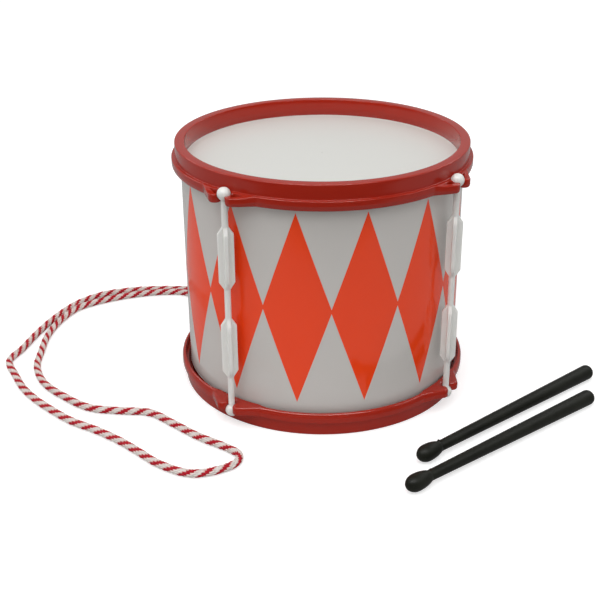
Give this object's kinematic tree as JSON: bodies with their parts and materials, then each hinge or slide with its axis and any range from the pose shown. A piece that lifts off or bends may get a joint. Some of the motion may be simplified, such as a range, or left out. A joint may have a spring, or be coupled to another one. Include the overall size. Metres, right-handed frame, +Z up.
{
  "type": "field drum",
  "caption": "Small cylindrical side drum with flat heads held by red clamping hoops and white tension rods, a rope sling and a pair of drumsticks lying beside it.",
  "frame": {"origin": "on the floor under the middle of the box round the drum and its two sticks, sling left out", "axes": "+Z up along the drum's axis, +Y away from the viewer, +X towards the side where the sticks lie"},
  "size_m": [0.4588, 0.3304, 0.1869],
  "materials": {
    "hoop_plastic": "glossy moulded red plastic",
    "shell_sheet": "glossy white plastic sheet printed with orange red diamonds",
    "head_film": "satin white moulded head",
    "rod_plastic": "satin white moulded plastic",
    "sling_rope": "soft twisted cotton rope of red and cream strands",
    "stick_plastic": "satin black moulded plastic"
  },
  "bodies": {
    "drum": {"shell": "shell_sheet", "top_hoop": "hoop_plastic", "bottom_hoop": "hoop_plastic", "batter_head": "head_film", "bottom_head": "head_film", "sling_cord": "sling_rope", "sling_knot_left": "sling_rope", "sling_knot_right": "sling_rope"},
    "front_left_rod": {"tension_rod_front_left": "rod_plastic"},
    "front_right_rod": {"tension_rod_front_right": "rod_plastic"},
    "rear_right_rod": {"tension_rod_rear_right": "rod_plastic"},
    "rear_left_rod": {"tension_rod_rear_left": "rod_plastic"},
    "stick_1": {"drumstick_1": "stick_plastic"},
    "stick_2": {"drumstick_2": "stick_plastic"}
  },
  "joints": [
    {"name": "front_left_rod_turn", "type": "hinge", "parent": "drum", "child": "front_left_rod", "pos_m": [-0.11563, -0.05433, 0.09345], "axis": [0, 0, 1], "continuous": true},
    {"name": "front_right_rod_turn", "type": "hinge", "parent": "drum", "child": "front_right_rod", "pos_m": [0.0405, -0.03044, 0.09345], "axis": [0, 0, 1], "continuous": true},
    {"name": "rear_right_rod_turn", "type": "hinge", "parent": "drum", "child": "rear_right_rod", "pos_m": [0.01661, 0.12569, 0.09345], "axis": [0, 0, 1], "continuous": true},
    {"name": "rear_left_rod_turn", "type": "hinge", "parent": "drum", "child": "rear_left_rod", "pos_m": [-0.13952, 0.10179, 0.09345], "axis": [0, 0, 1], "continuous": true},
    {"name": "stick_1_lift", "type": "slide", "parent": "drum", "child": "stick_1", "axis": [0, 0, 1], "range_m": [0, 0.15]},
    {"name": "stick_2_lift", "type": "slide", "parent": "drum", "child": "stick_2", "axis": [0, 0, 1], "range_m": [0, 0.15]}
  ]
}
